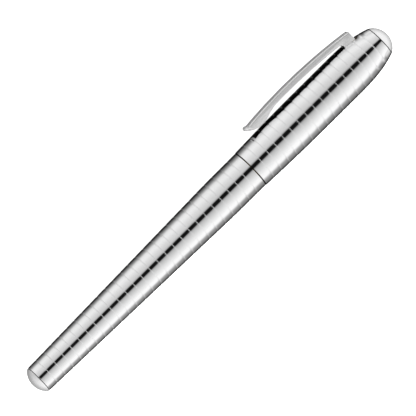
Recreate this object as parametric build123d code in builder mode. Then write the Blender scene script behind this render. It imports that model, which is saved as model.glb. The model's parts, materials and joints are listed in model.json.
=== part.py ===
from build123d import *

import os
from math import asin, atan2, cos, degrees, hypot, sin, sqrt, tan

# Capped rollerball pen, lying on a table on the belly of its cap and on its clip.
#
# Units are millimetres. Every section is drawn on the plane `pen`, which holds the pen's axis and
# its clip: local x, called u, runs along the axis from the tail (0) to the top of the cap
# (pen_length), and local y, called h, points from the axis towards the clip.
# The row frame has +Z up, the pen along X with its cap towards -X and its clip towards -Y, and its
# origin on the table, under the middle of the bounding box.

# ---------------------------------------------------------------- driving dimensions
pen_length = 137.0

tail_u = 2.4  # edge between the tail dome and the barrel
tail_r = 4.24
barrel_end_u = 83.86
barrel_r = 6.00
blend_u = (69.5, 76.5)  # the barrel's cone turns into a cylinder between these stations

cap_mouth_u = 84.06
cap_mouth_r = 6.10
cap_top_u = 134.0  # edge between the cap and its finial
cap_top_r = 4.78
cap_r = 6.55
belly_u = (108.0, 119.0)  # the cap is cylindrical between these stations
cap_wall = 0.50
dome_seam = 0.15  # width of the shadow line beside each dome

groove_tool_r = 0.13
groove_depth = 0.09
barrel_grooves = 26
barrel_first_groove_u = 5.21
barrel_groove_pitch = 3.02
cap_grooves = 16
cap_first_groove_u = 86.87
cap_groove_pitch = 2.954

thread_pitch = 0.80
thread_minor_r = 4.38
thread_major_r = 4.68
thread_root_width = 0.46
thread_crest_width = 0.14
thread_play = 0.05
thread_start_u = 76.9  # rear end of the male thread
male_thread_turns = 6
female_thread_turns = 8

refill_r = 3.00
refill_rear_u = 13.0
ball_r = 0.35
ball_u = 121.95  # centre of the writing ball
ball_play = 0.02

clip_width = 4.6
clip_tip_u = 90.0
clip_root_u = (125.7, 129.4)
clip_crest_u = 106.3
clip_crest_h = 9.88
clip_edge_r = 0.35
pivot = (126.9, 3.6)  # the clip's pin, in u and h
pin_r = 0.50
pin_length = 7.2
pin_chamfer = 0.1
pin_play = 0.03
lug_width = 3.2
lug_play = 0.1
lug_rear_u = 130.4

slip = 0.02  # radial gap between pieces that are glued or pushed together

# ---------------------------------------------------------------- the pen's own plane
axis_z = cap_r
corner_h = clip_crest_h - clip_edge_r
corner_v = clip_width / 2 - clip_edge_r
# the pen rolls until the rounded outer edge of the clip meets the table
roll = asin((axis_z - clip_edge_r) / hypot(corner_h, corner_v)) - atan2(corner_v, corner_h)
clip_reach_y = corner_h * cos(roll) + corner_v * sin(roll) + clip_edge_r
axis_y = (clip_reach_y - cap_r) / 2

pen = Plane(
    origin=(pen_length / 2, axis_y, axis_z),
    x_dir=(-1, 0, 0),
    z_dir=(0, -sin(roll), cos(roll)),
)
pen_axis = Axis(pen.origin, pen.x_dir)
# seen from outside, along the clip's direction: local x is u again
clip_plan = Plane(origin=pen.origin, x_dir=pen.x_dir, z_dir=pen.y_dir)


# ---------------------------------------------------------------- outlines as formulas
def barrel_outer(u):
    """Radius of the barrel's outside: a long cone that turns smoothly into a cylinder."""
    start, end = blend_u
    slope = (barrel_r - tail_r) / ((start + end) / 2 - tail_u)
    if u <= start:
        return tail_r + slope * (u - tail_u)
    if u >= end:
        return barrel_r
    return barrel_r - slope * (end - u) ** 2 / (2 * (end - start))


def cap_outer(u):
    """Radius of the cap's outside: a parabolic swell, a short cylinder and a cubic shoulder."""
    if u < belly_u[0]:
        along = (belly_u[0] - u) / (belly_u[0] - cap_mouth_u)
        return cap_r - (cap_r - cap_mouth_r) * along**2
    if u > belly_u[1]:
        along = (u - belly_u[1]) / (cap_top_u - belly_u[1])
        return cap_r - (cap_r - cap_top_r) * along**3
    return cap_r


# ---------------------------------------------------------------- sketch and sweep helpers
def cap_outline(inset):
    """Draws the cap's outline in the current line, moved towards the axis by inset."""
    swell_u = (cap_mouth_u + belly_u[0]) / 2
    third = (cap_top_u - belly_u[1]) / 3
    r = cap_r - inset
    Bezier((cap_mouth_u, cap_mouth_r - inset), (swell_u, r), (belly_u[0], r))
    Line((belly_u[0], r), (belly_u[1], r))
    Bezier(
        (belly_u[1], r),
        (belly_u[1] + third, r),
        (belly_u[1] + 2 * third, r),
        (cap_top_u, cap_top_r - inset),
    )


def band(u0, u1, r0, r1):
    """Adds a rectangle to the current sketch, between two stations and two radii."""
    Polygon((u0, r0), (u1, r0), (u1, r1), (u0, r1))


def engrave(radius_at, first_u, pitch, count):
    """Cuts evenly spaced round-bottomed rings into the current part."""
    stations = [first_u + pitch * i for i in range(count)]
    with BuildSketch(pen) as rings:
        with Locations(*[(u, radius_at(u) + groove_tool_r - groove_depth) for u in stations]):
            Circle(groove_tool_r)
    revolve(rings.sketch, axis=pen_axis, mode=Mode.SUBTRACT)


def helix_plane(path, centre, direction):
    """The plane across the start of a helix, with its x pointing straight out from the axis."""
    start = path @ 0
    from_centre = start - centre
    outward = from_centre - direction * from_centre.dot(direction)
    return Plane(origin=start, x_dir=outward, z_dir=path % 0)


def thread(root_r, crest_r, root_width, crest_width, start_u, turns, mode):
    """Adds or cuts one right-hand helical ridge about the pen's axis."""
    centre = pen.from_local_coords(Vector(start_u, 0, 0))
    sunk = 0.05  # the ridge's root reaches this far into the core
    with BuildLine() as path:
        Helix(thread_pitch, thread_pitch * turns, root_r, center=centre, direction=pen.x_dir)
    with BuildSketch(helix_plane(path.wires()[0], centre, pen.x_dir)) as ridge:
        Polygon(
            (-sunk, -root_width / 2),
            (crest_r - root_r, -crest_width / 2),
            (crest_r - root_r, crest_width / 2),
            (-sunk, root_width / 2),
        )
    sweep(ridge.sketch, path=path.wires()[0], is_frenet=True, mode=mode)


def coil_spring(centre, direction, length, mean_r, wire_r, coils):
    """Adds a compression spring to the current part, from centre along direction."""
    inner_length = length - 2 * wire_r
    start = centre + direction * wire_r
    with BuildLine() as path:
        Helix(inner_length / coils, inner_length, mean_r, center=start, direction=direction)
    with BuildSketch(helix_plane(path.wires()[0], start, direction)) as wire:
        Circle(wire_r)
    sweep(wire.sketch, path=path.wires()[0], is_frenet=True)


def save(part, name):
    """Labels a finished piece and writes its STEP file."""
    part.label = name
    export_step(part, f"parts/{name}.step")


os.makedirs("parts", exist_ok=True)

# ================================================================ barrel
# Engraved tube, open at both ends: the tail cap's plug and the thread bush fit its two bores.
plug_r = 3.35
plug_bore_end_u = 7.0
bush_r = 5.20
bush_rear_u = 71.3
bore_r = (3.45, 4.90)  # the refill's chamber widens from the tail to the bush

with BuildPart() as barrel_shell:
    with BuildSketch(pen):
        with BuildLine():
            Line((tail_u, barrel_outer(tail_u)), (blend_u[0], barrel_outer(blend_u[0])))
            ThreePointArc(
                (blend_u[0], barrel_outer(blend_u[0])),
                (sum(blend_u) / 2, barrel_outer(sum(blend_u) / 2)),
                (blend_u[1], barrel_r),
            )
            Polyline(
                (blend_u[1], barrel_r),
                (barrel_end_u, barrel_r),
                (barrel_end_u, bush_r),
                (bush_rear_u, bush_r),
                (bush_rear_u, bore_r[1]),
                (plug_bore_end_u, bore_r[0]),
                (plug_bore_end_u, plug_r),
                (tail_u, plug_r),
                (tail_u, barrel_outer(tail_u)),
            )
        make_face()
    revolve(axis=pen_axis)
    engrave(barrel_outer, barrel_first_groove_u, barrel_groove_pitch, barrel_grooves)
save(barrel_shell.part, "barrel_shell")

# Blunt domed end: a quarter ellipse on a plug, with a pocket that holds the refill spring.
spring_seat_u = 5.0
spring_seat_r = 2.70
quarter_handle = 0.5523  # handle length that bends a cubic curve into a quarter ellipse
tail_rim_u = tail_u - dome_seam
tail_rim_r = tail_r - 0.03
with BuildPart() as tail_cap:
    with BuildSketch(pen):
        with BuildLine():
            Bezier(
                (tail_rim_u, tail_rim_r),
                (tail_rim_u * (1 - quarter_handle), tail_rim_r),
                (0, tail_rim_r * quarter_handle),
                (0, 0),
            )
            Polyline(
                (0, 0),
                (spring_seat_u, 0),
                (spring_seat_u, spring_seat_r),
                (plug_bore_end_u, spring_seat_r),
                (plug_bore_end_u, plug_r - slip),
                (tail_rim_u, plug_r - slip),
                (tail_rim_u, tail_rim_r),
            )
        make_face()
    revolve(axis=pen_axis)
save(tail_cap.part, "tail_cap")

# Brass bush in the front of the barrel, with the female thread and a seat for the seal ring.
seal_u = 83.25
lead_in_u = 82.25  # the female thread opens here, before the end of its last turn
seal_seat_r = 4.95
seal_mean_r = 4.46
seal_wire_r = 0.38
seal_clearance = 0.50
bush_bore_r = thread_minor_r + thread_play
bush_throat = (75.5, 3.60)  # where the bush narrows around the refill, in u and r
bush_play = 0.1
with BuildPart() as thread_bush:
    with BuildSketch(pen):
        Polygon(
            (bush_rear_u + bush_play, bush_r - slip),
            (barrel_end_u - 2 * bush_play, bush_r - slip),
            (barrel_end_u - 2 * bush_play, bush_bore_r),
            (bush_throat[0], bush_bore_r),
            bush_throat,
            (bush_rear_u + bush_play, bush_throat[1]),
        )
    revolve(axis=pen_axis)
    thread(
        bush_bore_r,
        thread_major_r + thread_play,
        thread_root_width + 2 * thread_play,
        thread_crest_width + 2 * thread_play,
        thread_start_u - thread_pitch,
        female_thread_turns,
        Mode.SUBTRACT,
    )
    with BuildSketch(pen):
        Polygon(
            (lead_in_u, bush_throat[1]),
            (lead_in_u, thread_major_r + 2 * thread_play),
            (seal_u - seal_clearance, seal_seat_r),
            (barrel_end_u, seal_seat_r),
            (barrel_end_u, bush_throat[1]),
        )
    revolve(axis=pen_axis, mode=Mode.SUBTRACT)
save(thread_bush.part, "thread_bush")

# Spring behind the refill.
refill_spring_r = 2.10
with BuildPart() as refill_spring:
    coil_spring(
        pen.from_local_coords(Vector(spring_seat_u + slip, 0, 0)),
        pen.x_dir,
        refill_rear_u - spring_seat_u - 2 * slip,
        mean_r=refill_spring_r,
        wire_r=0.20,
        coils=6,
    )
save(refill_spring.part, "refill_spring")

# Rubber ring that stops the section from working loose.
with BuildPart() as seal_ring:
    with BuildSketch(pen):
        with Locations((seal_u, seal_mean_r)):
            Circle(seal_wire_r)
    revolve(axis=pen_axis)
save(seal_ring.part, "seal_ring")

# ================================================================ grip section
section_bore_r = 3.15
spigot_r = 3.90
ring_u = (84.0, 85.3)
ring_r = 5.54
grip_u = (85.3, 111.3)
connector_front_u = 91.3
nose_spigot_r = 3.62
nose_rear_u = 105.3
nose_front_u = 119.5
shoulder_u = 111.7  # where the refill's shoulder stops

connector_rear_u = 76.3
connector_bore_r = 3.30
seal_groove_u = (seal_u - 0.80, seal_u + 0.45)
seal_groove_r = 4.05
connector_collar_r = 4.30

# Brass tube that carries the male thread and holds the ring and the grip.
with BuildPart() as section_connector:
    with BuildSketch(pen):
        Polygon(
            (connector_rear_u, connector_bore_r),
            (connector_rear_u, thread_minor_r - 0.25),
            (thread_start_u - 0.2, thread_minor_r),
            (seal_groove_u[0], thread_minor_r),
            (seal_groove_u[0], seal_groove_r),
            (seal_groove_u[1], seal_groove_r),
            (seal_groove_u[1], connector_collar_r),
            (ring_u[0], connector_collar_r),
            (ring_u[0], spigot_r - slip),
            (connector_front_u, spigot_r - slip),
            (connector_front_u, connector_bore_r),
        )
    revolve(axis=pen_axis)
    thread(
        thread_minor_r,
        thread_major_r,
        thread_root_width,
        thread_crest_width,
        thread_start_u,
        male_thread_turns,
        Mode.ADD,
    )
save(section_connector.part, "section_connector")

# Polished ring between the barrel and the grip: the cap's mouth closes over it.
ring_chamfer = 0.33
with BuildPart() as section_ring:
    with BuildSketch(pen):
        Polygon(
            (ring_u[0] + slip, spigot_r),
            (ring_u[0] + slip, ring_r),
            (ring_u[1] - slip - ring_chamfer, ring_r),
            (ring_u[1] - slip, ring_r - ring_chamfer),
            (ring_u[1] - slip, spigot_r),
        )
    revolve(axis=pen_axis)
save(section_ring.part, "section_ring")

# Grip: a slim waisted sleeve with a groove for the snap ring near its rear end.
snap_u = 87.3
snap_groove_half = 0.25
snap_groove_r = 4.59
grip_rear_r = 4.75
grip_waist = (99.8, 4.32)
grip_straight_u = 89.3
grip_front_r = 4.15
with BuildPart() as grip_sleeve:
    with BuildSketch(pen):
        with BuildLine():
            Polyline(
                (grip_u[0], spigot_r),
                (grip_u[0], grip_rear_r),
                (snap_u - snap_groove_half, grip_rear_r),
                (snap_u - snap_groove_half, snap_groove_r),
                (snap_u + snap_groove_half, snap_groove_r),
                (snap_u + snap_groove_half, grip_rear_r),
                (grip_straight_u, grip_rear_r),
            )
            ThreePointArc((grip_straight_u, grip_rear_r), grip_waist, (grip_u[1], grip_front_r))
            Polyline(
                (grip_u[1], grip_front_r),
                (grip_u[1], nose_spigot_r),
                (nose_rear_u, nose_spigot_r),
                (nose_rear_u, section_bore_r),
                (connector_front_u + 0.1, section_bore_r),
                (connector_front_u + 0.1, spigot_r),
                (grip_u[0], spigot_r),
            )
        make_face()
    revolve(axis=pen_axis)
save(grip_sleeve.part, "grip_sleeve")

# Nose cone: its spigot is pushed into the grip, and its inner step stops the refill.
nose_straight_u = grip_u[1] + 1.2
nose_swell = (116.5, 3.10)
nose_front_r = 1.75
nose_hole_r = 1.30
shoulder_r = 2.20
nose_hole_length = 2.4
with BuildPart() as nose_cone:
    with BuildSketch(pen):
        with BuildLine():
            Line((grip_u[1] + slip, grip_front_r), (nose_straight_u, grip_front_r))
            ThreePointArc((nose_straight_u, grip_front_r), nose_swell, (nose_front_u, nose_front_r))
            Polyline(
                (nose_front_u, nose_front_r),
                (nose_front_u, nose_hole_r),
                (nose_front_u - nose_hole_length, nose_hole_r),
                (nose_front_u - nose_hole_length - 1.0, shoulder_r),
                (shoulder_u, shoulder_r),
                (shoulder_u, section_bore_r),
                (nose_rear_u + 0.05, section_bore_r),
                (nose_rear_u + 0.05, nose_spigot_r - slip),
                (grip_u[1] + slip, nose_spigot_r - slip),
                (grip_u[1] + slip, grip_front_r),
            )
        make_face()
    revolve(axis=pen_axis)
save(nose_cone.part, "nose_cone")

# Split spring ring that the cap clicks over.
snap_mean_r = 4.82
snap_wire_r = 0.19
snap_split = 1.2
with BuildPart() as snap_ring:
    with BuildSketch(pen):
        with Locations((snap_u, snap_mean_r)):
            Circle(snap_wire_r)
    revolve(axis=pen_axis)
    with BuildSketch(pen):
        band(snap_u - 1, snap_u + 1, snap_mean_r - 1, snap_mean_r + 1)
    extrude(amount=snap_split / 2, both=True, mode=Mode.SUBTRACT)
save(snap_ring.part, "snap_ring")

# ================================================================ refill
tube_wall = 0.25
tube_u = (13.8, 96.3)
plug_front_u = 17.5
housing_u = (93.9, 111.65)
neck_r = 2.05
neck_front_u = 114.8
shank_r = 0.95
tip_collar_u = 115.9
tip_r = 1.15
tip_cone_u = 120.2
tip_rim_u = ball_u + 0.20
tip_rim_r = 0.37
rod_r = 0.45
rod_u = (88.1, 118.3)

with BuildPart() as refill_tube:
    with BuildSketch(pen):
        band(*tube_u, refill_r - tube_wall, refill_r)
    revolve(axis=pen_axis)
save(refill_tube.part, "refill_tube")

# Rear plug: a flange on the tube's end, with a breather hole.
breather_r = 0.5
with BuildPart() as refill_plug:
    with BuildSketch(pen):
        Polygon(
            (refill_rear_u, breather_r),
            (refill_rear_u, refill_r - 0.2),
            (refill_rear_u + 0.2, refill_r),
            (tube_u[0] - slip, refill_r),
            (tube_u[0] - slip, refill_r - tube_wall - slip),
            (plug_front_u, refill_r - tube_wall - slip),
            (plug_front_u, breather_r),
        )
    revolve(axis=pen_axis)
save(refill_plug.part, "refill_plug")

# Fibre wad that holds the ink, with a hole in its front end for the feed rod.
with BuildPart() as ink_reservoir:
    with BuildSketch(pen):
        Polygon(
            (plug_front_u + 0.2, 0),
            (plug_front_u + 0.2, refill_r - tube_wall - 0.05),
            (housing_u[0] - 0.1, refill_r - tube_wall - 0.05),
            (housing_u[0] - 0.1, rod_r + slip),
            (rod_u[0] - 0.1, rod_r + slip),
            (rod_u[0] - 0.1, 0),
        )
    revolve(axis=pen_axis)
save(ink_reservoir.part, "ink_reservoir")

# Plastic front of the refill: a spigot in the tube, a body, a shoulder and a neck.
tip_socket_u = neck_front_u - 2.5
tool_ring_u = 99.3
tool_ring_pitch = 1.2
tool_ring_width = 0.5
tool_ring_depth = 0.15
with BuildPart() as feed_housing:
    with BuildSketch(pen):
        Polygon(
            (housing_u[0], rod_r + 0.1),
            (housing_u[0], refill_r - tube_wall - slip),
            (tube_u[1] + slip, refill_r - tube_wall - slip),
            (tube_u[1] + slip, refill_r),
            (housing_u[1] - 0.3, refill_r),
            (housing_u[1], refill_r - 0.3),
            (housing_u[1], neck_r),
            (neck_front_u, neck_r),
            (tip_collar_u - slip, tip_r + 0.25),
            (tip_collar_u - slip, shank_r + slip),
            (tip_socket_u, shank_r + slip),
            (tip_socket_u, rod_r + 0.1),
        )
    revolve(axis=pen_axis)
    # shallow rings that grip the tool that pushes the front into its tube
    with BuildSketch(pen):
        for ring in range(4):
            start = tool_ring_u + tool_ring_pitch * ring
            band(start, start + tool_ring_width, refill_r - tool_ring_depth, refill_r + 0.1)
    revolve(axis=pen_axis, mode=Mode.SUBTRACT)
save(feed_housing.part, "feed_housing")

# Capillary rod from the reservoir to the back of the tip.
with BuildPart() as feed_rod:
    with BuildSketch(pen):
        band(*rod_u, 0, rod_r)
    revolve(axis=pen_axis)
save(feed_rod.part, "feed_rod")

# Steel tip: shank, collar and cone, drilled for the ink and cupped for the ball.
ink_hole_r = 0.15
cup_r = ball_r + ball_play
cup_mouth = (tip_rim_u, sqrt(cup_r**2 - (tip_rim_u - ball_u) ** 2))
cup_floor = (ball_u - sqrt(cup_r**2 - ink_hole_r**2), ink_hole_r)
with BuildPart() as refill_tip:
    with BuildSketch(pen):
        with BuildLine():
            ThreePointArc(cup_mouth, (ball_u, cup_r), cup_floor)
            Polyline(
                cup_floor,
                (rod_u[1] + 0.3, ink_hole_r),
                (rod_u[1] + 0.1, rod_r + 0.05),
                (tip_socket_u + 0.1, rod_r + 0.05),
                (tip_socket_u + 0.1, shank_r),
                (tip_collar_u, shank_r),
                (tip_collar_u, tip_r),
                (tip_cone_u, tip_r),
                (tip_rim_u - 0.25, tip_rim_r + 0.09),
                (tip_rim_u, tip_rim_r),
                cup_mouth,
            )
        make_face()
    revolve(axis=pen_axis)
save(refill_tip.part, "refill_tip")

with BuildPart() as writing_ball:
    with Locations(pen.from_local_coords(Vector(ball_u, 0, 0))):
        Sphere(ball_r)
save(writing_ball.part, "writing_ball")

# ================================================================ cap
slot_u = (125.55, 130.05)
slot_width = clip_width + 0.3
slot_corner_r = 0.5

# Engraved cap tube, with the slot that the clip comes out of.
with BuildPart() as cap_shell:
    with BuildSketch(pen):
        with BuildLine():
            cap_outline(0)
            Line((cap_top_u, cap_top_r), (cap_top_u, cap_top_r - cap_wall))
            cap_outline(cap_wall)
            Line((cap_mouth_u, cap_mouth_r - cap_wall), (cap_mouth_u, cap_mouth_r))
        make_face()
    revolve(axis=pen_axis)
    engrave(cap_outer, cap_first_groove_u, cap_groove_pitch, cap_grooves)
    with BuildSketch(clip_plan.offset(3.0)):
        with Locations((sum(slot_u) / 2, 0)):
            RectangleRounded(slot_u[1] - slot_u[0], slot_width, slot_corner_r)
    extrude(amount=cap_r, mode=Mode.SUBTRACT)
save(cap_shell.part, "cap_shell")

liner_mouth_u = 85.5
liner_r = 5.06
snap_ramp_u = (0.3, 0.5)  # the click groove's floor and mouth, each side of the snap ring
snap_ramp_r = 5.16

# Plastic liner: it guides the section, clicks over the snap ring and closes over the tip.
with BuildPart() as inner_cap:
    with BuildSketch(pen):
        Polygon(
            (liner_mouth_u, 5.62),
            (117.3, 4.75),
            (120.8, 3.00),
            (124.1, 3.00),
            (124.1, 0),
            (123.2, 0),
            (123.2, 1.90),
            (120.3, 2.10),
            (116.9, 4.30),
            (96.3, 4.92),
            (connector_front_u, liner_r),
            (snap_u + snap_ramp_u[1], liner_r),
            (snap_u + snap_ramp_u[0], snap_ramp_r),
            (snap_u - snap_ramp_u[0], snap_ramp_r),
            (snap_u - snap_ramp_u[1], liner_r),
            (liner_mouth_u, liner_r),
        )
    revolve(axis=pen_axis)
save(inner_cap.part, "inner_cap")

# Brass carrier in the top of the cap: slot for the clip's lug, cross hole for the pin, pocket
# for the clip spring and a hole for the finial's stud.
carrier_u = (124.4, 132.4)
carrier_flange_u = 125.1
carrier_r = 5.18
carrier_taper_u = 129.6
carrier_lug_slot_u = (125.3, 130.85)
carrier_lug_floor_h = 2.0
spring_u = 129.25
spring_pocket_r = 1.15
pocket_floor_h = -1.0
stud_r = 2.0
stud_u = (131.0, 132.5)
with BuildPart() as clip_carrier:
    with BuildSketch(pen):
        Polygon(
            (carrier_u[0], 0),
            (carrier_u[0], cap_outer(carrier_flange_u) - cap_wall - slip),
            (carrier_flange_u, cap_outer(carrier_flange_u) - cap_wall - slip),
            (carrier_flange_u, carrier_r),
            (carrier_taper_u, carrier_r),
            (carrier_u[1], cap_outer(carrier_u[1]) - cap_wall - 0.10),
            (carrier_u[1], stud_r + slip),
            (stud_u[0] - 0.05, stud_r + slip),
            (stud_u[0] - 0.05, 0),
        )
    revolve(axis=pen_axis)
    with BuildSketch(pen):
        band(*carrier_lug_slot_u, carrier_lug_floor_h, cap_r)
    extrude(amount=lug_width / 2 + lug_play, both=True, mode=Mode.SUBTRACT)
    with BuildSketch(clip_plan.offset(pocket_floor_h)):
        with Locations((spring_u, 0)):
            Circle(spring_pocket_r)
    extrude(amount=5.0, mode=Mode.SUBTRACT)
    with BuildSketch(pen):
        with Locations(pivot):
            Circle(pin_r + slip)
    extrude(amount=cap_r, both=True, mode=Mode.SUBTRACT)
save(clip_carrier.part, "clip_carrier")

with BuildPart() as clip_pin:
    with BuildSketch(pen):
        with Locations(pivot):
            Circle(pin_r)
    extrude(amount=pin_length / 2, both=True)
    chamfer(clip_pin.edges().filter_by(GeomType.CIRCLE), pin_chamfer)
save(clip_pin.part, "clip_pin")

lug_floor_h = 2.9
clip_spring_r = 0.85
with BuildPart() as clip_spring:
    coil_spring(
        clip_plan.from_local_coords(Vector(spring_u, 0, pocket_floor_h + 0.01)),
        pen.y_dir,
        lug_floor_h - pocket_floor_h - 0.03,
        mean_r=clip_spring_r,
        wire_r=0.14,
        coils=6,
    )
save(clip_spring.part, "clip_spring")

# Domed finial with a spigot in the cap's top opening and a stud in the carrier.
dome_base_u = cap_top_u + dome_seam
dome_h = pen_length - dome_base_u
dome_rim_r = cap_top_r - 0.03
dome_r = (dome_rim_r**2 + dome_h**2) / (2 * dome_h)
dome_angle = asin(dome_rim_r / dome_r)
dome_handle = dome_r * tan(dome_angle / 4) * 4 / 3  # bends a cubic curve into a circular arc
finial_spigot_r = cap_top_r - cap_wall - slip
with BuildPart() as finial:
    with BuildSketch(pen):
        with BuildLine():
            Bezier(
                (dome_base_u, dome_rim_r),
                (
                    dome_base_u + dome_handle * sin(dome_angle),
                    dome_rim_r - dome_handle * cos(dome_angle),
                ),
                (pen_length, dome_handle),
                (pen_length, 0),
            )
            Polyline(
                (pen_length, 0),
                (stud_u[0], 0),
                (stud_u[0], stud_r),
                (stud_u[1], stud_r),
                (stud_u[1], finial_spigot_r),
                (dome_base_u, finial_spigot_r),
                (dome_base_u, dome_rim_r),
            )
        make_face()
    revolve(axis=pen_axis)
save(finial.part, "finial")

# ================================================================ clip
# The side view is cut to the plan view; the lug inside the cap turns on the pin.
root_front_u, root_rear_u = clip_root_u
root_floor_h = 5.5
root_rear_h = 8.30
root_notch_h = 6.40
tip_top = (91.0, 9.14)
tip_heel = (90.6, 8.35)
arm_front = (101.2, 8.12)  # the underside between the foot and the root is one arc
arm_middle = (111.8, 8.06)
arm_rear = (124.2, 7.22)
plan_corner_r = 1.2
plan_overrun = 4.0  # the plan's rear corners lie behind the root
foot_u = 94.8
foot_pad_r = 1.2
foot_clearance = 0.08
foot_pad_h = cap_outer(foot_u) + foot_clearance + foot_pad_r
with BuildPart() as clip:
    with BuildSketch(pen):
        with BuildLine():
            ThreePointArc((root_rear_u, root_rear_h), (clip_crest_u, clip_crest_h), tip_top)
            ThreePointArc(tip_top, (clip_tip_u, 8.80), tip_heel)
            Spline(
                tip_heel,
                (92.4, 7.22),
                (foot_u, 6.80),
                (97.3, 7.14),
                arm_front,
                tangents=[(0.75, -0.75), (1, 0.10)],
            )
            ThreePointArc(arm_front, arm_middle, arm_rear)
            ThreePointArc(arm_rear, (125.3, 6.92), (root_front_u, root_notch_h))
            Polyline(
                (root_front_u, root_notch_h),
                (root_front_u, root_floor_h),
                (root_rear_u, root_floor_h),
                (root_rear_u, root_rear_h),
            )
        make_face()
    extrude(amount=clip_width, both=True)
    with BuildSketch(clip_plan):
        with Locations(((clip_tip_u + root_rear_u + plan_overrun) / 2, 0)):
            RectangleRounded(
                root_rear_u - clip_tip_u + plan_overrun,
                clip_width,
                plan_corner_r,
            )
    extrude(amount=2 * clip_crest_h, mode=Mode.INTERSECT)
    # rounded pad under the foot, which rests on the cap
    with Locations(pen.from_local_coords(Vector(foot_u, foot_pad_h, 0))):
        Sphere(foot_pad_r)
    with BuildSketch(pen):
        Polygon(
            (root_front_u + 0.1, root_floor_h + 0.1),
            (root_front_u + 0.1, lug_floor_h + 0.3),
            (root_front_u + 0.4, lug_floor_h),
            (lug_rear_u, lug_floor_h),
            (lug_rear_u, 4.2),
            (root_rear_u, 4.5),
            (root_rear_u, root_floor_h + 0.1),
        )
    extrude(amount=lug_width / 2, both=True)
    with BuildSketch(pen):
        with Locations(pivot):
            Circle(pin_r + pin_play)
    extrude(amount=clip_width, both=True, mode=Mode.SUBTRACT)
    outer_face = clip.faces().sort_by(Axis(pen.origin, pen.y_dir))[-1]
    fillet(outer_face.edges().filter_by(GeomType.LINE, reverse=True), clip_edge_r)
save(clip.part, "clip")

print(f"roll {degrees(roll):.2f} degrees, axis at y {axis_y:.3f}, z {axis_z:.3f}")
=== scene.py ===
import json
import math

import bmesh
import bpy
from mathutils import Matrix, Vector


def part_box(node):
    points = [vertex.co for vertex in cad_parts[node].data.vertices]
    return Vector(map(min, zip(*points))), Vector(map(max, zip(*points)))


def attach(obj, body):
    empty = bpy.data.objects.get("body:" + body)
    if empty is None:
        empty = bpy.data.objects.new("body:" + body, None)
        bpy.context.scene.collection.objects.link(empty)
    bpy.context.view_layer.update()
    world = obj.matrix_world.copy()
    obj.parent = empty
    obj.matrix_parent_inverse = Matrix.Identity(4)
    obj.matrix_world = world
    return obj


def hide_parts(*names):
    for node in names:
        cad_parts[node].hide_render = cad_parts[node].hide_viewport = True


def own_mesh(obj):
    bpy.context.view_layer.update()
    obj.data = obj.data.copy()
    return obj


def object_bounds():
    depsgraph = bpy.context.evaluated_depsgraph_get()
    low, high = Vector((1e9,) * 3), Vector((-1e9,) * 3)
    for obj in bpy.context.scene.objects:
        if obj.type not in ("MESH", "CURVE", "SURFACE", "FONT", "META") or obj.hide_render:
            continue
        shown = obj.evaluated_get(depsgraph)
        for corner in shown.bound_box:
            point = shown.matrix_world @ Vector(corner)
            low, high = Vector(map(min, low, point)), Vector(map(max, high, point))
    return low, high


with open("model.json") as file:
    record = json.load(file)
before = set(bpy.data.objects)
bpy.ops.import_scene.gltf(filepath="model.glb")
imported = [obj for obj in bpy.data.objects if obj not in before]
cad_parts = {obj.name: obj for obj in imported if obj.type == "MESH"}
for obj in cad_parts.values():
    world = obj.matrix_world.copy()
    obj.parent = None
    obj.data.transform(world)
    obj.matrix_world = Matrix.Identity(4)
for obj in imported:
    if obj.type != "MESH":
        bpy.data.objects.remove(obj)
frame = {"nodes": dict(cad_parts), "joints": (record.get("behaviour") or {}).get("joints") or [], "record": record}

cad_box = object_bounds()

# ---------------------------------------------------------------- the pen's own coordinates
# u runs along the axis from the tail to the top of the cap, r is a radius, h points from the
# axis towards the clip and q across the clip. They are in millimetres; meshes are in metres.
MM = 0.001
clip_hinge = Vector(next(j["axis"] for j in frame["joints"] if j["name"] == "clip_lift"))
ALONG = Vector((-1.0, 0.0, 0.0))
CLIPWARD = Vector((0.0, clip_hinge.z, -clip_hinge.y)).normalized()
ACROSS = ALONG.cross(CLIPWARD)
shell_low, shell_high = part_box("barrel_shell")
tail_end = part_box("tail_cap")[1].x
AXIS_START = Vector((tail_end, (shell_low.y + shell_high.y) / 2, (shell_low.z + shell_high.z) / 2))


def place(u, h, q):
    """A point of the pen's own coordinates, in metres in the frame."""
    return AXIS_START + (ALONG * u + CLIPWARD * h + ACROSS * q) * MM


# ---------------------------------------------------------------- sizes, in millimetres
PEN_LENGTH = 137.0
TAIL_U = 2.4
TAIL_R = 4.24
BARREL_END_U = 83.86
BARREL_R = 6.00
BLEND_U = (69.5, 76.5)
CAP_MOUTH_U = 84.06
CAP_MOUTH_R = 6.10
CAP_TOP_U = 134.0
CAP_TOP_R = 4.78
CAP_R = 6.55
BELLY_U = (108.0, 119.0)
CAP_WALL = 0.50
DOME_SEAM = 0.15
DOME_FLATNESS = 0.6  # the tail dome's way from an ellipse, 0, to a circular arc, 1
DOME_INSET = 0.03  # how far a dome's rim lies inside its tube's outside
EDGE_BREAK = 0.06  # bevel on a tube's engraved edges
MOUTH_BREAK = 0.02  # bevel on the cap's mouth
SEAM_LIP = 0.12  # length of the bevel on the barrel's mouth
SEAM_DROP = 0.08  # depth of the bevels on the barrel's mouth and the cap's top
TAIL_BEVEL = (0.03, 0.05, 0.01)  # a dome's edge: its length, and its two ends' depths in the rim
FINIAL_BEVEL = (0.02, 0.04, 0.01)
NEAR = 0.01  # margin for finding the faces of a seam

GROOVE_HALF = 0.14
GROOVE_DEPTH = 0.09
GROOVE_LIP = 0.03  # width of the softened lip beside a groove
GROOVE_LIP_DROP = 0.012
GROOVE_STEPS = 5
ENGRAVED_STEP = 0.75  # longest straight step between two grooves
BARREL_GROOVES = [5.21 + 3.02 * i for i in range(26)]
CAP_GROOVES = [86.87 + 2.954 * i for i in range(16)]

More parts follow.
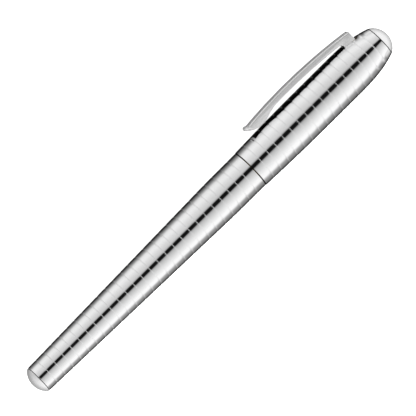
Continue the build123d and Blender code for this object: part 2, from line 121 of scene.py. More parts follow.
SEAT_U = 5.0  # the tail dome's pocket, where the refill's spring sits
SEAT_R = 2.70
PLUG_END_U = 7.0
PLUG_R = 3.33
PLUG_BORE_R = 3.36
CHAMBER_R = (3.45, 4.90)  # the barrel's inside at the plug and at the bush
BUSH_REAR_U = 71.3
BUSH_R = 5.20
STUD_U = (131.0, 132.5)
STUD_R = 2.0
SPIGOT_R = 4.26

SLOT_U = (125.55, 130.05)
SLOT_HALF = 2.45
SLOT_CORNER_R = 0.5
SLOT_CUT_H = (3.0, 9.0)  # the cutter's lower and upper end

# how finely the curves are divided
SEGMENTS = 224
DOME_STEPS = 24
FINIAL_STEPS = 28
CAP_INSIDE_STEPS = 44
COIL_TURNS = 6
COIL_STEPS = 24
WIRE_SIDES = 8
SHARP_DEG = 32.0  # edges sharper than this stay crisp


def barrel_outer(u):
    """Radius of the barrel's outside: a long cone that turns smoothly into a cylinder."""
    start, end = BLEND_U
    slope = (BARREL_R - TAIL_R) / ((start + end) / 2 - TAIL_U)
    if u <= start:
        return TAIL_R + slope * (u - TAIL_U)
    if u >= end:
        return BARREL_R
    return BARREL_R - slope * (end - u) ** 2 / (2 * (end - start))


def cap_outer(u):
    """Radius of the cap's outside: a parabolic swell, a short cylinder and a cubic shoulder."""
    if u < BELLY_U[0]:
        along = (BELLY_U[0] - u) / (BELLY_U[0] - CAP_MOUTH_U)
        return CAP_R - (CAP_R - CAP_MOUTH_R) * along**2
    if u > BELLY_U[1]:
        along = (u - BELLY_U[1]) / (CAP_TOP_U - BELLY_U[1])
        return CAP_R - (CAP_R - CAP_TOP_R) * along**3
    return CAP_R


# ---------------------------------------------------------------- mesh helpers
def finish_mesh(name, bm, sharp_deg=SHARP_DEG):
    """Turns a bmesh into a shown object with smooth faces and crisp edges."""
    bmesh.ops.recalc_face_normals(bm, faces=bm.faces)
    mesh = bpy.data.meshes.new(name)
    bm.to_mesh(mesh)
    bm.free()
    mesh.shade_smooth()
    mesh.set_sharp_from_angle(angle=math.radians(sharp_deg))
    piece = bpy.data.objects.new(name, mesh)
    bpy.context.scene.collection.objects.link(piece)
    return piece


def lathe(name, profile, closed=False):
    """A mesh turned about the pen's axis from (u, r) points; a point at r 0 becomes a pole."""
    bm = bmesh.new()
    rings = []
    for u, r in profile:
        if r < 1e-6:
            rings.append([bm.verts.new(place(u, 0, 0))])
            continue
        angles = [2 * math.pi * i / SEGMENTS for i in range(SEGMENTS)]
        rings.append([bm.verts.new(place(u, r * math.cos(a), r * math.sin(a))) for a in angles])
    pairs = list(zip(rings, rings[1:]))
    if closed:
        pairs.append((rings[-1], rings[0]))
    for ring_a, ring_b in pairs:
        for i in range(SEGMENTS):
            j = (i + 1) % SEGMENTS
            corners = [ring_a[i % len(ring_a)], ring_a[j % len(ring_a)]]
            corners += [ring_b[j % len(ring_b)], ring_b[i % len(ring_b)]]
            distinct = list(dict.fromkeys(corners))
            if len(distinct) > 2:
                bm.faces.new(distinct)
    return finish_mesh(name, bm)


def curve(start, end, count, radius_at):
    """Evenly spaced points of a radius formula."""
    stations = [start + (end - start) * i / count for i in range(count + 1)]
    return [(u, radius_at(u)) for u in stations]


def engraved(radius_at, start, end, grooves):
    """Points of an outside with round-bottomed grooves and softened lips."""
    points = []
    u = start
    for centre in grooves + [None]:
        stop = end if centre is None else centre - GROOVE_HALF - GROOVE_LIP
        count = max(1, round((stop - u) / ENGRAVED_STEP))
        points += curve(u, stop, count, radius_at)
        if centre is None:
            break
        for i in range(-GROOVE_STEPS, GROOVE_STEPS + 1):
            share = i / GROOVE_STEPS
            at = centre + GROOVE_HALF * share
            depth = GROOVE_LIP_DROP + GROOVE_DEPTH * math.sqrt(1 - share**2)
            points.append((at, radius_at(at) - depth))
        u = centre + GROOVE_HALF + GROOVE_LIP
    return points


def rounded(points, radius, steps):
    """A closed outline with every corner rounded."""
    out = []
    for i, point in enumerate(points):
        here = Vector(point)
        to_last = Vector(points[i - 1]) - here
        to_next = Vector(points[(i + 1) % len(points)]) - here
        a = here + to_last.normalized() * radius
        b = here + to_next.normalized() * radius
        for k in range(steps + 1):
            t = k / steps
            out.append(tuple(a * (1 - t) ** 2 + here * 2 * t * (1 - t) + b * t**2))
    return out


def bridge(bm, slices):
    """Joins closed loops in order and closes both ends."""
    for low, high in zip(slices, slices[1:]):
        for i in range(len(low)):
            j = (i + 1) % len(low)
            bm.faces.new([low[i], low[j], high[j], high[i]])
    bm.faces.new(slices[0])
    bm.faces.new(slices[-1])


def paint_seam_shade(piece, *bands):
    """Gives the faces inside open seams, given as (u from, u to, r limit), the near-black second material: painted
    shade in the gaps.
    """
    # painted shade: each face inside a seam gets the near-black material in place of the shadow in the gap
    for face in piece.data.polygons:
        offset = face.center - AXIS_START
        u = offset.dot(ALONG) / MM
        r = (offset - ALONG * offset.dot(ALONG)).length / MM
        if any(low <= u <= high and r <= limit for low, high, limit in bands):
            face.material_index = 1


# ---------------------------------------------------------------- barrel and tail
def make_barrel():
    """The engraved tube, with its bores for the tail's plug, the refill and the thread bush."""
    profile = [(TAIL_U, PLUG_BORE_R), (TAIL_U, TAIL_R - EDGE_BREAK)]
    profile += engraved(barrel_outer, TAIL_U + EDGE_BREAK, BARREL_END_U - SEAM_LIP, BARREL_GROOVES)
    profile += [(BARREL_END_U, BARREL_R - SEAM_DROP), (BARREL_END_U, BUSH_R)]
    profile += [(BUSH_REAR_U, BUSH_R), (BUSH_REAR_U, CHAMBER_R[1]), (PLUG_END_U, CHAMBER_R[0])]
    piece = lathe("barrel_tube", profile, closed=True)
    tail_seam = (TAIL_U - NEAR, TAIL_U + NEAR, TAIL_R)
    mouth_seam = (BARREL_END_U - SEAM_LIP, BARREL_END_U + NEAR, BARREL_R)
    paint_seam_shade(piece, tail_seam, mouth_seam)
    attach(piece, "barrel")
    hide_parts("barrel_shell")
    return piece


def make_tail():
    """The tail's dome on its plug, flatter than an ellipse."""
    rim = TAIL_R - DOME_INSET
    base = TAIL_U - DOME_SEAM
    radius = (rim**2 + base**2) / (2 * base)
    dome = []
    for i in range(DOME_STEPS + 1):
        a = math.pi / 2 * i / DOME_STEPS
        r = rim * math.cos(a)
        ellipse = base * (1 - math.sin(a))
        circle = radius - math.sqrt(radius**2 - r**2)
        dome.append((ellipse + (circle - ellipse) * DOME_FLATNESS, r))
    profile = [(SEAT_U, 0.0), (SEAT_U, SEAT_R), (PLUG_END_U, SEAT_R), (PLUG_END_U, PLUG_R)]
    length, low, high = TAIL_BEVEL
    profile += [(base, PLUG_R), (base, rim - low), (base - length, rim - high)]
    profile += dome[2:-1] + [(0.0, 0.0)]
    piece = lathe("tail_dome", profile)
    paint_seam_shade(piece, (base - 2 * NEAR, PLUG_END_U, rim))
    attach(piece, "barrel")
    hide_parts("tail_cap")
    return piece


# ---------------------------------------------------------------- cap and finial
def make_slot_cutter():
    """A rounded box that cuts the clip's slot through the cap's wall."""
    bm = bmesh.new()
    corners = [(SLOT_U[0], -SLOT_HALF), (SLOT_U[1], -SLOT_HALF), (SLOT_U[1], SLOT_HALF)]
    corners.append((SLOT_U[0], SLOT_HALF))
    outline = rounded(corners, SLOT_CORNER_R, steps=6)
    bridge(bm, [[bm.verts.new(place(u, h, q)) for u, q in outline] for h in SLOT_CUT_H])
    return finish_mesh("slot_cutter", bm)


def make_cap():
    """The cap's engraved tube, with the clip's slot cut through its wall."""
    profile = [(CAP_MOUTH_U, CAP_MOUTH_R - MOUTH_BREAK)]
    profile += engraved(cap_outer, CAP_MOUTH_U + MOUTH_BREAK, CAP_TOP_U - EDGE_BREAK, CAP_GROOVES)
    profile += [(CAP_TOP_U, CAP_TOP_R - SEAM_DROP), (CAP_TOP_U, CAP_TOP_R - CAP_WALL)]
    inside = curve(CAP_TOP_U, CAP_MOUTH_U, CAP_INSIDE_STEPS, lambda u: cap_outer(u) - CAP_WALL)
    profile += inside[1:]
    piece = lathe("cap_tube", profile, closed=True)
    cutter = make_slot_cutter()
    cut = piece.modifiers.new("slot", "BOOLEAN")
    cut.object = cutter
    cut.operation = "DIFFERENCE"
    cut.solver = "EXACT"
    bpy.context.view_layer.update()
    evaluated = piece.evaluated_get(bpy.context.evaluated_depsgraph_get())
    mesh = bpy.data.meshes.new_from_object(evaluated)
    piece.modifiers.clear()
    piece.data = mesh
    mesh.set_sharp_from_angle(angle=math.radians(SHARP_DEG))
    bpy.data.objects.remove(cutter)
    mouth_seam = (CAP_MOUTH_U - NEAR, CAP_MOUTH_U + NEAR, CAP_MOUTH_R)
    paint_seam_shade(piece, mouth_seam, (CAP_TOP_U - 4 * NEAR, CAP_TOP_U + NEAR, CAP_TOP_R))
    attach(piece, "cap")
    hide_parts("cap_shell")
    return piece


def make_finial():
    """The dome on the cap's top, a part of a sphere, with its spigot and stud."""
    rim = CAP_TOP_R - DOME_INSET
    base = CAP_TOP_U + DOME_SEAM
    height = PEN_LENGTH - base
    radius = (rim**2 + height**2) / (2 * height)
    widest = math.asin(rim / radius)
    dome = []
    for i in range(FINIAL_STEPS + 1):
        a = widest * (1 - i / FINIAL_STEPS)
        dome.append((PEN_LENGTH - radius + radius * math.cos(a), radius * math.sin(a)))
    profile = [(STUD_U[0], 0.0), (STUD_U[0], STUD_R), (STUD_U[1], STUD_R), (STUD_U[1], SPIGOT_R)]
    length, low, high = FINIAL_BEVEL
    profile += [(base, SPIGOT_R), (base, rim - low), (base + length, rim - high)]
    profile += dome[1:-1] + [(PEN_LENGTH, 0.0)]
    piece = lathe("cap_dome", profile)
    paint_seam_shade(piece, (STUD_U[0], base + NEAR, rim))
    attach(piece, "cap")
    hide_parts("finial")
    return piece


# ---------------------------------------------------------------- clip
CLIP_WIDTH = 4.6
CLIP_EDGE = 0.35
CLIP_TIP_U = 90.0
CLIP_TIP_CORNER = 1.2
CLIP_TIP_LENGTH = 5.0  # how far along the clip its tip's corners reach
CLIP_STATIONS = (0.0, 0.5, 1.0, 1.2, 1.4, 1.6, 1.75, 1.88)  # slices across one half
NOSE_EDGE = 0.30
UNDER_EDGE = 0.22

# the clip's side view from its root along the top, round the nose and back, as (u, h)
ROOT_TOP = (129.4, 8.30)
NOSE_TOP = (91.0, 9.14)
NOSE_FOOT = (90.6, 8.35)
HEEL = (94.8, 6.80)
RISE_END = (101.2, 8.12)
ROOT_UNDER = (124.2, 7.22)
NOTCH_END = (125.7, 6.40)
ROOT_FOOT_H = 5.5

# the lug under the root, which presses the clip's spring, and the pad under the heel
LUG_SIDE = ((125.8, 5.6), (125.8, 3.2), (126.1, 2.9), (130.4, 2.9), (130.4, 4.2), (129.4, 4.5))
LUG_SIDE += ((129.4, 5.6),)
LUG_HALF_WIDTH = 1.6
LUG_EDGE = 0.1
LUG_REACH = 3.0  # the lug's rough size, over which its side edges taper
PAD_R = 1.2
PAD_GAP = 0.08
# where the painted shade under the clip's arm begins, just behind the tip
SHADE_PAINT_FROM_U = CLIP_TIP_U + 0.45


def arc(a, b, c, count):
    """Points of the circular arc from a through b to c."""
    ax, ay = a
    bx, by = b
    cx, cy = c
    d = 2 * (ax * (by - cy) + bx * (cy - ay) + cx * (ay - by))
    sa, sb, sc = ax * ax + ay * ay, bx * bx + by * by, cx * cx + cy * cy
    ox = (sa * (by - cy) + sb * (cy - ay) + sc * (ay - by)) / d
    oy = (sa * (cx - bx) + sb * (ax - cx) + sc * (bx - ax)) / d
    r = math.hypot(ax - ox, ay - oy)
    start = math.atan2(ay - oy, ax - ox)
    middle = math.atan2(by - oy, bx - ox)
    end = math.atan2(cy - oy, cx - ox)
    turn = (end - start) % (2 * math.pi)
    if (middle - start) % (2 * math.pi) > turn:
        turn -= 2 * math.pi
    steps = [start + turn * i / count for i in range(count + 1)]
    return [(ox + r * math.cos(s), oy + r * math.sin(s)) for s in steps]


def bezier(p0, p1, p2, p3, count):
    """Points of a cubic curve."""
    out = []
    for i in range(count + 1):
        t = i / count
        s = 1 - t
        weights = (s**3, 3 * s * s * t, 3 * s * t * t, t**3)
        out.append(tuple(sum(w * p[k] for w, p in zip(weights, (p0, p1, p2, p3))) for k in (0, 1)))
    return out


def clip_side():
    """The clip's side view as a closed outline of (u, h, edge radius)."""
    top = arc(ROOT_TOP, (106.3, 9.88), NOSE_TOP, 48)
    nose = arc(NOSE_TOP, (CLIP_TIP_U, 8.80), NOSE_FOOT, 8)
    heel = bezier(NOSE_FOOT, (91.8, 7.1), (93.3, 6.78), HEEL, 10)
    rise = bezier(HEEL, (97.0, 6.82), (98.0, 7.82), RISE_END, 12)
    under = arc(RISE_END, (111.8, 8.06), ROOT_UNDER, 26)
    notch = arc(ROOT_UNDER, (125.3, 6.92), NOTCH_END, 8)
    underside = heel[1:] + rise[1:] + under[1:] + notch[1:]
    underside += [(NOTCH_END[0], ROOT_FOOT_H), (ROOT_TOP[0], ROOT_FOOT_H)]
    outline = [(u, h, CLIP_EDGE) for u, h in top]
    outline += [(u, h, NOSE_EDGE) for u, h in nose[1:]]
    outline += [(u, h, UNDER_EDGE) for u, h in underside]
    return outline


def inset_loop(outline, across):
    """The side outline moved in by each point's edge rounding, at a distance across the clip."""
    loop = []
    count = len(outline)
    for i, (u, h, edge) in enumerate(outline):
        before, after = outline[i - 1], outline[(i + 1) % count]
        tangent = Vector((after[0] - before[0], after[1] - before[1])).normalized()
        inward = Vector((-tangent.y, tangent.x))
        past = max(0.0, across - (CLIP_WIDTH / 2 - edge))
        shift = edge - math.sqrt(max(0.0, edge**2 - past**2))
        u += inward.x * shift
        h += inward.y * shift
        past_corner = max(0.0, across - (CLIP_WIDTH / 2 - CLIP_TIP_CORNER))
        pull = CLIP_TIP_CORNER - math.sqrt(CLIP_TIP_CORNER**2 - past_corner**2)
        near_tip = max(0.0, 1 - (u - CLIP_TIP_U) / CLIP_TIP_LENGTH)
        loop.append((u + pull * near_tip**2, h))
    return loop


def add_lug(bm):
    """Adds the lug, a straight-sided block with softened side edges, to a bmesh."""
    centre = sum((Vector(p) for p in LUG_SIDE), Vector((0.0, 0.0))) / len(LUG_SIDE)
    inner = LUG_HALF_WIDTH - LUG_EDGE
    slices = []
    for q, shift in ((-LUG_HALF_WIDTH, LUG_EDGE), (-inner, 0), (inner, 0), (LUG_HALF_WIDTH, LUG_EDGE)):
        loop = [centre + (Vector(p) - centre) * (1 - shift / LUG_REACH) for p in LUG_SIDE]
        slices.append([bm.verts.new(place(p.x, p.y, q)) for p in loop])
    bridge(bm, slices)


def make_clip():
    """The arched clip with its lug and pad, its underside painted near-black as shade."""
    outline = clip_side()
    inner = CLIP_WIDTH / 2 - CLIP_EDGE
    across = list(CLIP_STATIONS)
    across += [inner + CLIP_EDGE * math.sin(math.pi / 2 * i / 8) for i in range(9)]
    across = [-a for a in reversed(across[1:])] + across
    bm = bmesh.new()
    slices = []
    for q in across:
        slices.append([bm.verts.new(place(u, h, q)) for u, h in inset_loop(outline, abs(q))])
    bridge(bm, slices)
    add_lug(bm)
    pad = Matrix.Translation(place(HEEL[0], cap_outer(HEEL[0]) + PAD_GAP + PAD_R, 0))
    bmesh.ops.create_uvsphere(bm, u_segments=32, v_segments=20, radius=PAD_R * MM, matrix=pad)
    bmesh.ops.recalc_face_normals(bm, faces=bm.faces)
    # painted shade: the flat underside facing the cap gets the near-black second material
    for face in bm.faces:
        offset = face.calc_center_median() - place(SHADE_PAINT_FROM_U, 0, 0)
        on_flat = offset.dot(ALONG) > 0 and abs(offset.dot(ACROSS)) < inner * MM
        if face.normal.dot(CLIPWARD) < -0.3 and on_flat:
            face.material_index = 1
    piece = finish_mesh("clip_arm", bm, sharp_deg=40)
    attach(piece, "clip")
    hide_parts("clip")
    return piece


# ---------------------------------------------------------------- springs
def make_coil(name, replaced, body, direction, start, length, mean_r, wire_r):
    """A compression spring from start along direction; its joint presses it towards start."""
    steps = COIL_TURNS * COIL_STEPS
    sideways = direction.cross(ACROSS)
    bm = bmesh.new()
    rings = []
    for i in range(steps + 1):
        turn = 2 * math.pi * i / COIL_STEPS
        outward = ACROSS * math.cos(turn) + sideways * math.sin(turn)
        rise = wire_r + (length - 2 * wire_r) * i / steps
        centre = start + (direction * rise + outward * mean_r) * MM
        ring = []
        for k in range(WIRE_SIDES):
            angle = 2 * math.pi * k / WIRE_SIDES
            offset = outward * math.cos(angle) + direction * math.sin(angle)
            ring.append(bm.verts.new(centre + offset * wire_r * MM))
        rings.append(ring)
    bridge(bm, rings)
    piece = finish_mesh(name, bm, sharp_deg=50.0)
    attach(piece, body)
    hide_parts(replaced)
    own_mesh(piece)
    return piece


def make_refill_coil():
    """The spring behind the refill, against the tail cap's seat."""
    return make_coil(
        "refill_coil",
        replaced="refill_spring",
        body="barrel",
        direction=ALONG,
        start=place(SEAT_U + 0.02, 0, 0),
        length=7.96,
        mean_r=2.10,
        wire_r=0.20,
    )


def make_clip_coil():
    """The spring under the clip's lug, in the carrier's pocket."""
    return make_coil(
        "clip_coil",
        replaced="clip_spring",
        body="cap",
        direction=CLIPWARD,
        start=place(129.25, -0.99, 0),
        length=3.87,
        mean_r=0.85,
        wire_r=0.14,
    )


# ---------------------------------------------------------------- materials
NOISE_SPAN = (0.3, 0.7)  # the part of a noise's range that its values mostly fill
FINE_BUMP = 0.00001  # metres


def new_material(name, metallic, colour, roughness):
    """A principled material; returns it with its node tree and shader."""
    material = bpy.data.materials.new(name)
    material.use_nodes = True
    shader = material.node_tree.nodes["Principled BSDF"]
    shader.inputs["Metallic"].default_value = metallic
    shader.inputs["Base Color"].default_value = (*colour, 1.0)
    shader.inputs["Roughness"].default_value = roughness
    return material, material.node_tree, shader


def link_noise(tree, scale, stretch=(1, 1, 1), detail=4.0):
    """A noise texture in the object's own metres; returns its value output."""
    coordinates = tree.nodes.new("ShaderNodeTexCoord")
    mapping = tree.nodes.new("ShaderNodeMapping")
    mapping.inputs["Scale"].default_value = stretch
    noise = tree.nodes.new("ShaderNodeTexNoise")
    noise.inputs["Scale"].default_value = scale
    noise.inputs["Detail"].default_value = detail
    tree.links.new(coordinates.outputs["Object"], mapping.inputs["Vector"])
    tree.links.new(mapping.outputs["Vector"], noise.inputs["Vector"])
    return noise.outputs["Fac"]


def map_node(tree, value, source, target):
    """Maps one range of values linearly onto another, and holds it at the ends."""
    spread = tree.nodes.new("ShaderNodeMapRange")
    for name, limit in zip(("From Min", "From Max", "To Min", "To Max"), (*source, *target)):
        spread.inputs[name].default_value = limit
    tree.links.new(value, spread.inputs["Value"])
    return spread.outputs["Result"]


def vary_roughness(tree, shader, source, low, high):
    """Spreads a texture value over a range of roughness."""
    spread = map_node(tree, source, NOISE_SPAN, (low, high))
    tree.links.new(spread, shader.inputs["Roughness"])


def vary_colour(tree, shader, source, dark, light):
    """Spreads a texture value between two colours."""
    ramp = tree.nodes.new("ShaderNodeValToRGB")
    for element, position, colour in zip(ramp.color_ramp.elements, NOISE_SPAN, (dark, light)):
        element.position = position
        element.color = (*colour, 1.0)
    tree.links.new(source, ramp.inputs["Fac"])
    tree.links.new(ramp.outputs["Color"], shader.inputs["Base Color"])


def add_bump(tree, shader, source, strength):
    """Raises the surface by a texture value."""
    bump = tree.nodes.new("ShaderNodeBump")
    bump.inputs["Strength"].default_value = strength
    bump.inputs["Distance"].default_value = FINE_BUMP
    tree.links.new(source, bump.inputs["Height"])
    tree.links.new(bump.outputs["Normal"], shader.inputs["Normal"])


def polished_metal(name, tint=0.86, low=0.045, high=0.085):
    """Polished plated metal: faint handling marks change its roughness."""
    material, tree, shader = new_material(name, 1.0, (tint, tint, tint * 1.004), low)
    marks = link_noise(tree, 420.0, stretch=(1.0, 3.0, 3.0))
    vary_roughness(tree, shader, marks, low, high)
    lighter = (tint + 0.02, tint + 0.02, tint + 0.024)
    vary_colour(tree, shader, link_noise(tree, 90.0), (tint - 0.02,) * 3, lighter)
    return material


def satin_metal(name):
    """Satin metal brushed along the clip."""
    material, tree, shader = new_material(name, 0.75, (0.8, 0.8, 0.8), 0.22)
    brush = link_noise(tree, 900.0, stretch=(0.06, 1.6, 1.6), detail=6.0)
    vary_roughness(tree, shader, brush, 0.22, 0.26)
    vary_colour(tree, shader, brush, (0.76, 0.76, 0.76), (0.80, 0.80, 0.802))
    add_bump(tree, shader, brush, 0.02)
    return material


def turned_metal(name, dark, light, roughness):
    """Machined metal with fine turning lines around the pen's axis."""
    material, tree, shader = new_material(name, 1.0, light, roughness)
    lines = link_noise(tree, 1500.0, stretch=(2.0, 0.02, 0.02), detail=2.0)
    vary_roughness(tree, shader, lines, roughness * 0.8, roughness * 1.3)
    vary_colour(tree, shader, lines, dark, light)
    add_bump(tree, shader, lines, 0.15)
    return material


def plastic(name, dark, light, roughness, grain=1200.0):
    """Moulded plastic or rubber with a fine grain."""
    material, tree, shader = new_material(name, 0.0, light, roughness)
    grain_value = link_noise(tree, grain)
    vary_roughness(tree, shader, grain_value, roughness * 0.85, roughness * 1.2)
    vary_colour(tree, shader, grain_value, dark, light)
    add_bump(tree, shader, grain_value, 0.08)
    return material


MATERIALS = {
    "polished_metal": polished_metal("polished_metal"),
    "dome_metal": polished_metal("dome_metal", tint=0.92, low=0.24, high=0.30),
    "trim_metal": polished_metal("trim_metal", tint=0.84),
    "satin_metal": satin_metal("satin_metal"),
    "brass": turned_metal("brass", (0.62, 0.44, 0.18), (0.80, 0.61, 0.30), 0.24),
    "black_resin": plastic("black_resin", (0.010, 0.010, 0.011), (0.022, 0.022, 0.024), 0.14),
    "liner_plastic": plastic("liner_plastic", (0.04, 0.04, 0.043), (0.07, 0.07, 0.075), 0.42),
    "spring_steel": turned_metal("spring_steel", (0.5, 0.5, 0.51), (0.66, 0.66, 0.67), 0.22),
    "seal_rubber": plastic("seal_rubber", (0.012, 0.012, 0.012), (0.03, 0.03, 0.03), 0.6),
    "refill_plastic": plastic("refill_plastic", (0.68, 0.69, 0.72), (0.8, 0.81, 0.83), 0.35),
    "plug_plastic": plastic("plug_plastic", (0.02, 0.02, 0.024), (0.045, 0.045, 0.05), 0.38),
    "ink_fibre": plastic("ink_fibre", (0.02, 0.02, 0.04), (0.09, 0.09, 0.13), 0.9, grain=3500.0),
    "tip_steel": turned_metal("tip_steel", (0.58, 0.58, 0.58), (0.74, 0.74, 0.75), 0.16),
    "ball_carbide": polished_metal("ball_carbide", tint=0.4, low=0.06, high=0.12),
}
# A near-black, almost unreflecting material: painted shade for the seams and for the clip's underside
PAINTED_SHADE_BLACK = plastic("painted_shade_black", (0.001, 0.001, 0.001), (0.004, 0.004, 0.004), 0.9)
PAINTED_SHADE_BLACK.node_tree.nodes["Principled BSDF"].inputs["Specular IOR Level"].default_value = 0.02


def dress(piece, slot):
    """Gives a piece its slot's material; the second one, the near-black painted shade, is for faces that are
    marked as lying in shade.
    """
    if piece.data.materials:
        piece.data.materials.clear()
    piece.data.materials.append(MATERIALS[slot])
    if slot in ("polished_metal", "dome_metal", "satin_metal"):
        piece.data.materials.append(PAINTED_SHADE_BLACK)


# ---------------------------------------------------------------- build
for maker, slot in (
    (make_barrel, "polished_metal"),
    (make_tail, "dome_metal"),
    (make_cap, "polished_metal"),
    (make_finial, "dome_metal"),
    (make_clip, "satin_metal"),
    (make_refill_coil, "spring_steel"),
    (make_clip_coil, "spring_steel"),
):
    dress(maker(), slot)

for subpart in frame["record"]["subparts"]:
    dress(frame["nodes"][subpart["node"]], subpart["material_slot"])

# ---------------------------------------------------------------- camera
CAMERA_DISTANCE = 1.7607
CAMERA_TOWARDS_CLIP = math.radians(9.5)
CAMERA_TOWARDS_TAIL = math.radians(5.892)
CAMERA_ROLL = math.radians(44.76)
FOCAL_IN_FRAMES = 15.493  # focal length over the frame's width
AIM_OFFSET = (0.00594, -0.00221)  # the pen's middle from the frame's, in widths: right, up

side = -ACROSS if ACROSS.z < 0 else ACROSS
# across the pen's axis: towards the camera, and at right angles to that, away from the clip
facing_way = side * math.cos(CAMERA_TOWARDS_CLIP) + CLIPWARD * math.sin(CAMERA_TOWARDS_CLIP)
away_from_clip = side * math.sin(CAMERA_TOWARDS_CLIP) - CLIPWARD * math.cos(CAMERA_TOWARDS_CLIP)
to_camera = facing_way * math.cos(CAMERA_TOWARDS_TAIL) - ALONG * math.sin(CAMERA_TOWARDS_TAIL)
middle = place(PEN_LENGTH / 2, 0, 0)
cap_way = (ALONG - to_camera * ALONG.dot(to_camera)).normalized()
clip_way = to_camera.cross(cap_way)
if clip_way.dot(CLIPWARD) < 0:
    clip_way = -clip_way
# in the picture the cap points up and to the right, and the clip up and to the left
right = cap_way * math.cos(CAMERA_ROLL) - clip_way * math.sin(CAMERA_ROLL)
up = cap_way * math.sin(CAMERA_ROLL) + clip_way * math.cos(CAMERA_ROLL)
frame_width = CAMERA_DISTANCE / FOCAL_IN_FRAMES
aim = middle - (right * AIM_OFFSET[0] + up * AIM_OFFSET[1]) * frame_width
camera_data = bpy.data.cameras.new("camera")
camera_data.lens = FOCAL_IN_FRAMES * camera_data.sensor_width
camera_data.clip_start = 0.01
camera_data.clip_end = 20.0
camera = bpy.data.objects.new("camera", camera_data)
basis = Matrix((right, up, to_camera)).transposed()
camera.matrix_world = Matrix.Translation(aim + to_camera * CAMERA_DISTANCE) @ basis.to_4x4()
bpy.context.scene.collection.objects.link(camera)
bpy.context.scene.camera = camera

# ---------------------------------------------------------------- studio
# What the polished metal mirrors: brightness by the angle round the pen's axis from the side
# that faces the camera, in degrees, for a dark card between two large soft panels.
PANELS = [
    (-180, 0.20), (-165, 0.20), (-155, 0.02), (-148, 0.01), (-138, 0.015), (-128, 0.10), (-117, 0.21),
    (-105, 0.40), (-97, 0.66), (-88, 0.88), (-73, 0.98), (-60, 0.95), (-47, 0.85), (-35, 0.77),
    (-23, 0.70), (-17, 0.62), (-12, 0.32), (-9, 0.006), (8, 0.006), (11, 0.26), (16, 0.52), (23, 0.62),
    (35, 0.75), (47, 0.88), (73, 1.12), (88, 1.12), (97, 0.76), (106, 0.42), (116, 0.33),
    (127, 0.24), (140, 0.12), (156, 0.02),
]
CARD_REACH = (20.0, 48.0)  # the dark card's reach towards the tail and the cap, in degrees
CARD_FADE = 8.0
FLAG_REACH = (2.0, 17.0)  # the same reach of the dark flags behind the pen
FLAG_FADE = 14.0
FLAG_FACING = (0.0, -0.25)  # the flags come in over these parts of a direction towards the camera
TAIL_END_TONES = (0.58, 1.0)  # past the card's tail end, from the clip's side to the far side
TAIL_END_SIDES = (-0.7, 0.6)
BEHIND_SHARE = 0.5  # how bright the ends stay behind the pen
BEHIND_FACING = (-0.8, -0.15)


def math_node(tree, operation, *values):
    """A maths step on numbers or other nodes' outputs."""
    node = tree.nodes.new("ShaderNodeMath")
    node.operation = operation
    for socket, value in zip(node.inputs, values):
        if isinstance(value, (int, float)):
            socket.default_value = value
        else:
            tree.links.new(value, socket)
    return node.outputs[0]


def dot_node(tree, direction, vector):
    """How far a direction points along a fixed vector."""
    node = tree.nodes.new("ShaderNodeVectorMath")
    node.operation = "DOT_PRODUCT"
    node.inputs[1].default_value = vector
    tree.links.new(direction, node.inputs[0])
    return node.outputs["Value"]


def smooth_step(tree, value, degrees, width):
    """0 up to an angle from the pen's cross plane, and 1 from a width beyond it."""
    step = tree.nodes.new("ShaderNodeMapRange")
    step.interpolation_type = "SMOOTHSTEP"
    step.inputs["From Min"].default_value = math.sin(math.radians(degrees))
    step.inputs["From Max"].default_value = math.sin(math.radians(degrees + width))
    tree.links.new(value, step.inputs["Value"])
    return step.outputs["Result"]


def mix_node(tree, share, first, second):
    """Mixes two colours."""
    mix = tree.nodes.new("ShaderNodeMix")
    mix.data_type = "RGBA"
    tree.links.new(share, mix.inputs[0])
    tree.links.new(first, mix.inputs[6])
    tree.links.new(second, mix.inputs[7])
    return mix.outputs[2]


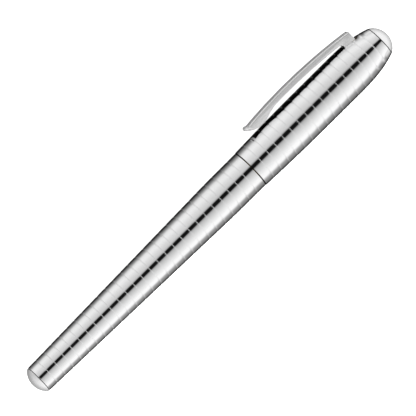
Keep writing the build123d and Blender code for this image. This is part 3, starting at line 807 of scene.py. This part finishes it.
def make_world():
    """White for the camera, and the panels' pattern for everything else."""
    world = bpy.data.worlds.new("studio")
    world.use_nodes = True
    bpy.context.scene.world = world
    tree = world.node_tree
    tree.nodes.clear()
    output = tree.nodes.new("ShaderNodeOutputWorld")
    direction = tree.nodes.new("ShaderNodeTexCoord").outputs["Generated"]
    facing = dot_node(tree, direction, facing_way)
    sideways = dot_node(tree, direction, away_from_clip)
    lengthways = dot_node(tree, direction, ALONG)
    turn = math_node(tree, "ARCTAN2", sideways, facing)
    turn = math_node(tree, "MULTIPLY_ADD", turn, 0.5 / math.pi, 0.5)
    ramp = tree.nodes.new("ShaderNodeValToRGB")
    tree.links.new(turn, ramp.inputs["Fac"])
    elements = ramp.color_ramp.elements
    while len(elements) < len(PANELS):
        elements.new(0.5)
    for element, (degrees, tone) in zip(elements, PANELS):
        element.position = 0.5 + degrees / 360
        element.color = (tone, tone, tone, 1.0)
    # past the card's ends, the panels meet; the flags behind the pen end sooner
    behind = map_node(tree, facing, FLAG_FACING, (0.0, 1.0))
    tailways = math_node(tree, "MULTIPLY", lengthways, -1.0)
    shares = []
    for value, card_reach, flag_reach in zip((tailways, lengthways), CARD_REACH, FLAG_REACH):
        past_card = smooth_step(tree, value, card_reach, CARD_FADE)
        past_flags = smooth_step(tree, value, flag_reach, FLAG_FADE)
        past_flags = math_node(tree, "MULTIPLY", past_flags, behind)
        shares.append(math_node(tree, "MAXIMUM", past_card, past_flags))
    tail_tone = map_node(tree, sideways, TAIL_END_SIDES, TAIL_END_TONES)
    cap_tone = map_node(tree, facing, BEHIND_FACING, (BEHIND_SHARE, 1.0))
    tail_tone = math_node(tree, "MULTIPLY", tail_tone, cap_tone)
    tones = mix_node(tree, shares[0], ramp.outputs["Color"], tail_tone)
    tones = mix_node(tree, shares[1], tones, cap_tone)
    mirrored = tree.nodes.new("ShaderNodeBackground")
    tree.links.new(tones, mirrored.inputs["Color"])
    seen = tree.nodes.new("ShaderNodeBackground")
    seen.inputs["Color"].default_value = (1.0, 1.0, 1.0, 1.0)
    path = tree.nodes.new("ShaderNodeLightPath")
    mix = tree.nodes.new("ShaderNodeMixShader")
    tree.links.new(path.outputs["Is Camera Ray"], mix.inputs["Fac"])
    tree.links.new(mirrored.outputs[0], mix.inputs[1])
    tree.links.new(seen.outputs[0], mix.inputs[2])
    tree.links.new(mix.outputs[0], output.inputs["Surface"])


FLOOR_GLOW = 0.85  # the floor is a lit acrylic table, so that shadows on it stay faint
FLOOR_GAP = 0.00005  # metres between the table and the pen, so that the two don't touch


def make_floor():
    """The table under the pen, just below the CAD's lowest point."""
    bm = bmesh.new()
    bmesh.ops.create_grid(bm, x_segments=8, y_segments=8, size=3.0)
    floor = finish_mesh("floor", bm)
    floor.location.z = cad_box[0][2] - FLOOR_GAP
    material, tree, shader = new_material("pale_floor", 0.0, (0.93, 0.93, 0.93), 0.9)
    shader.inputs["Emission Color"].default_value = (1.0, 1.0, 1.0, 1.0)
    shader.inputs["Emission Strength"].default_value = FLOOR_GLOW
    vary_colour(tree, shader, link_noise(tree, 3.0), (0.92, 0.92, 0.92), (0.95, 0.95, 0.95))
    floor.data.materials.append(material)
    floor.visible_glossy = False


def make_light(name, direction, distance, size, power):
    """A large soft panel aimed at the pen; the metal mirrors the studio's own panels instead."""
    data = bpy.data.lights.new(name, "AREA")
    data.shape = "SQUARE"
    data.size = size
    data.energy = power
    light = bpy.data.objects.new(name, data)
    light.location = middle + Vector(direction).normalized() * distance
    light.rotation_euler = Vector(direction).to_track_quat("Z", "Y").to_euler()
    light.visible_glossy = False
    bpy.context.scene.collection.objects.link(light)


make_world()
make_floor()
make_light("top_panel", direction=(0.0, -0.2, 1.0), distance=1.6, size=2.4, power=24.0)

bpy.context.scene.view_settings.view_transform = "Standard"
bpy.context.scene.view_settings.look = "None"
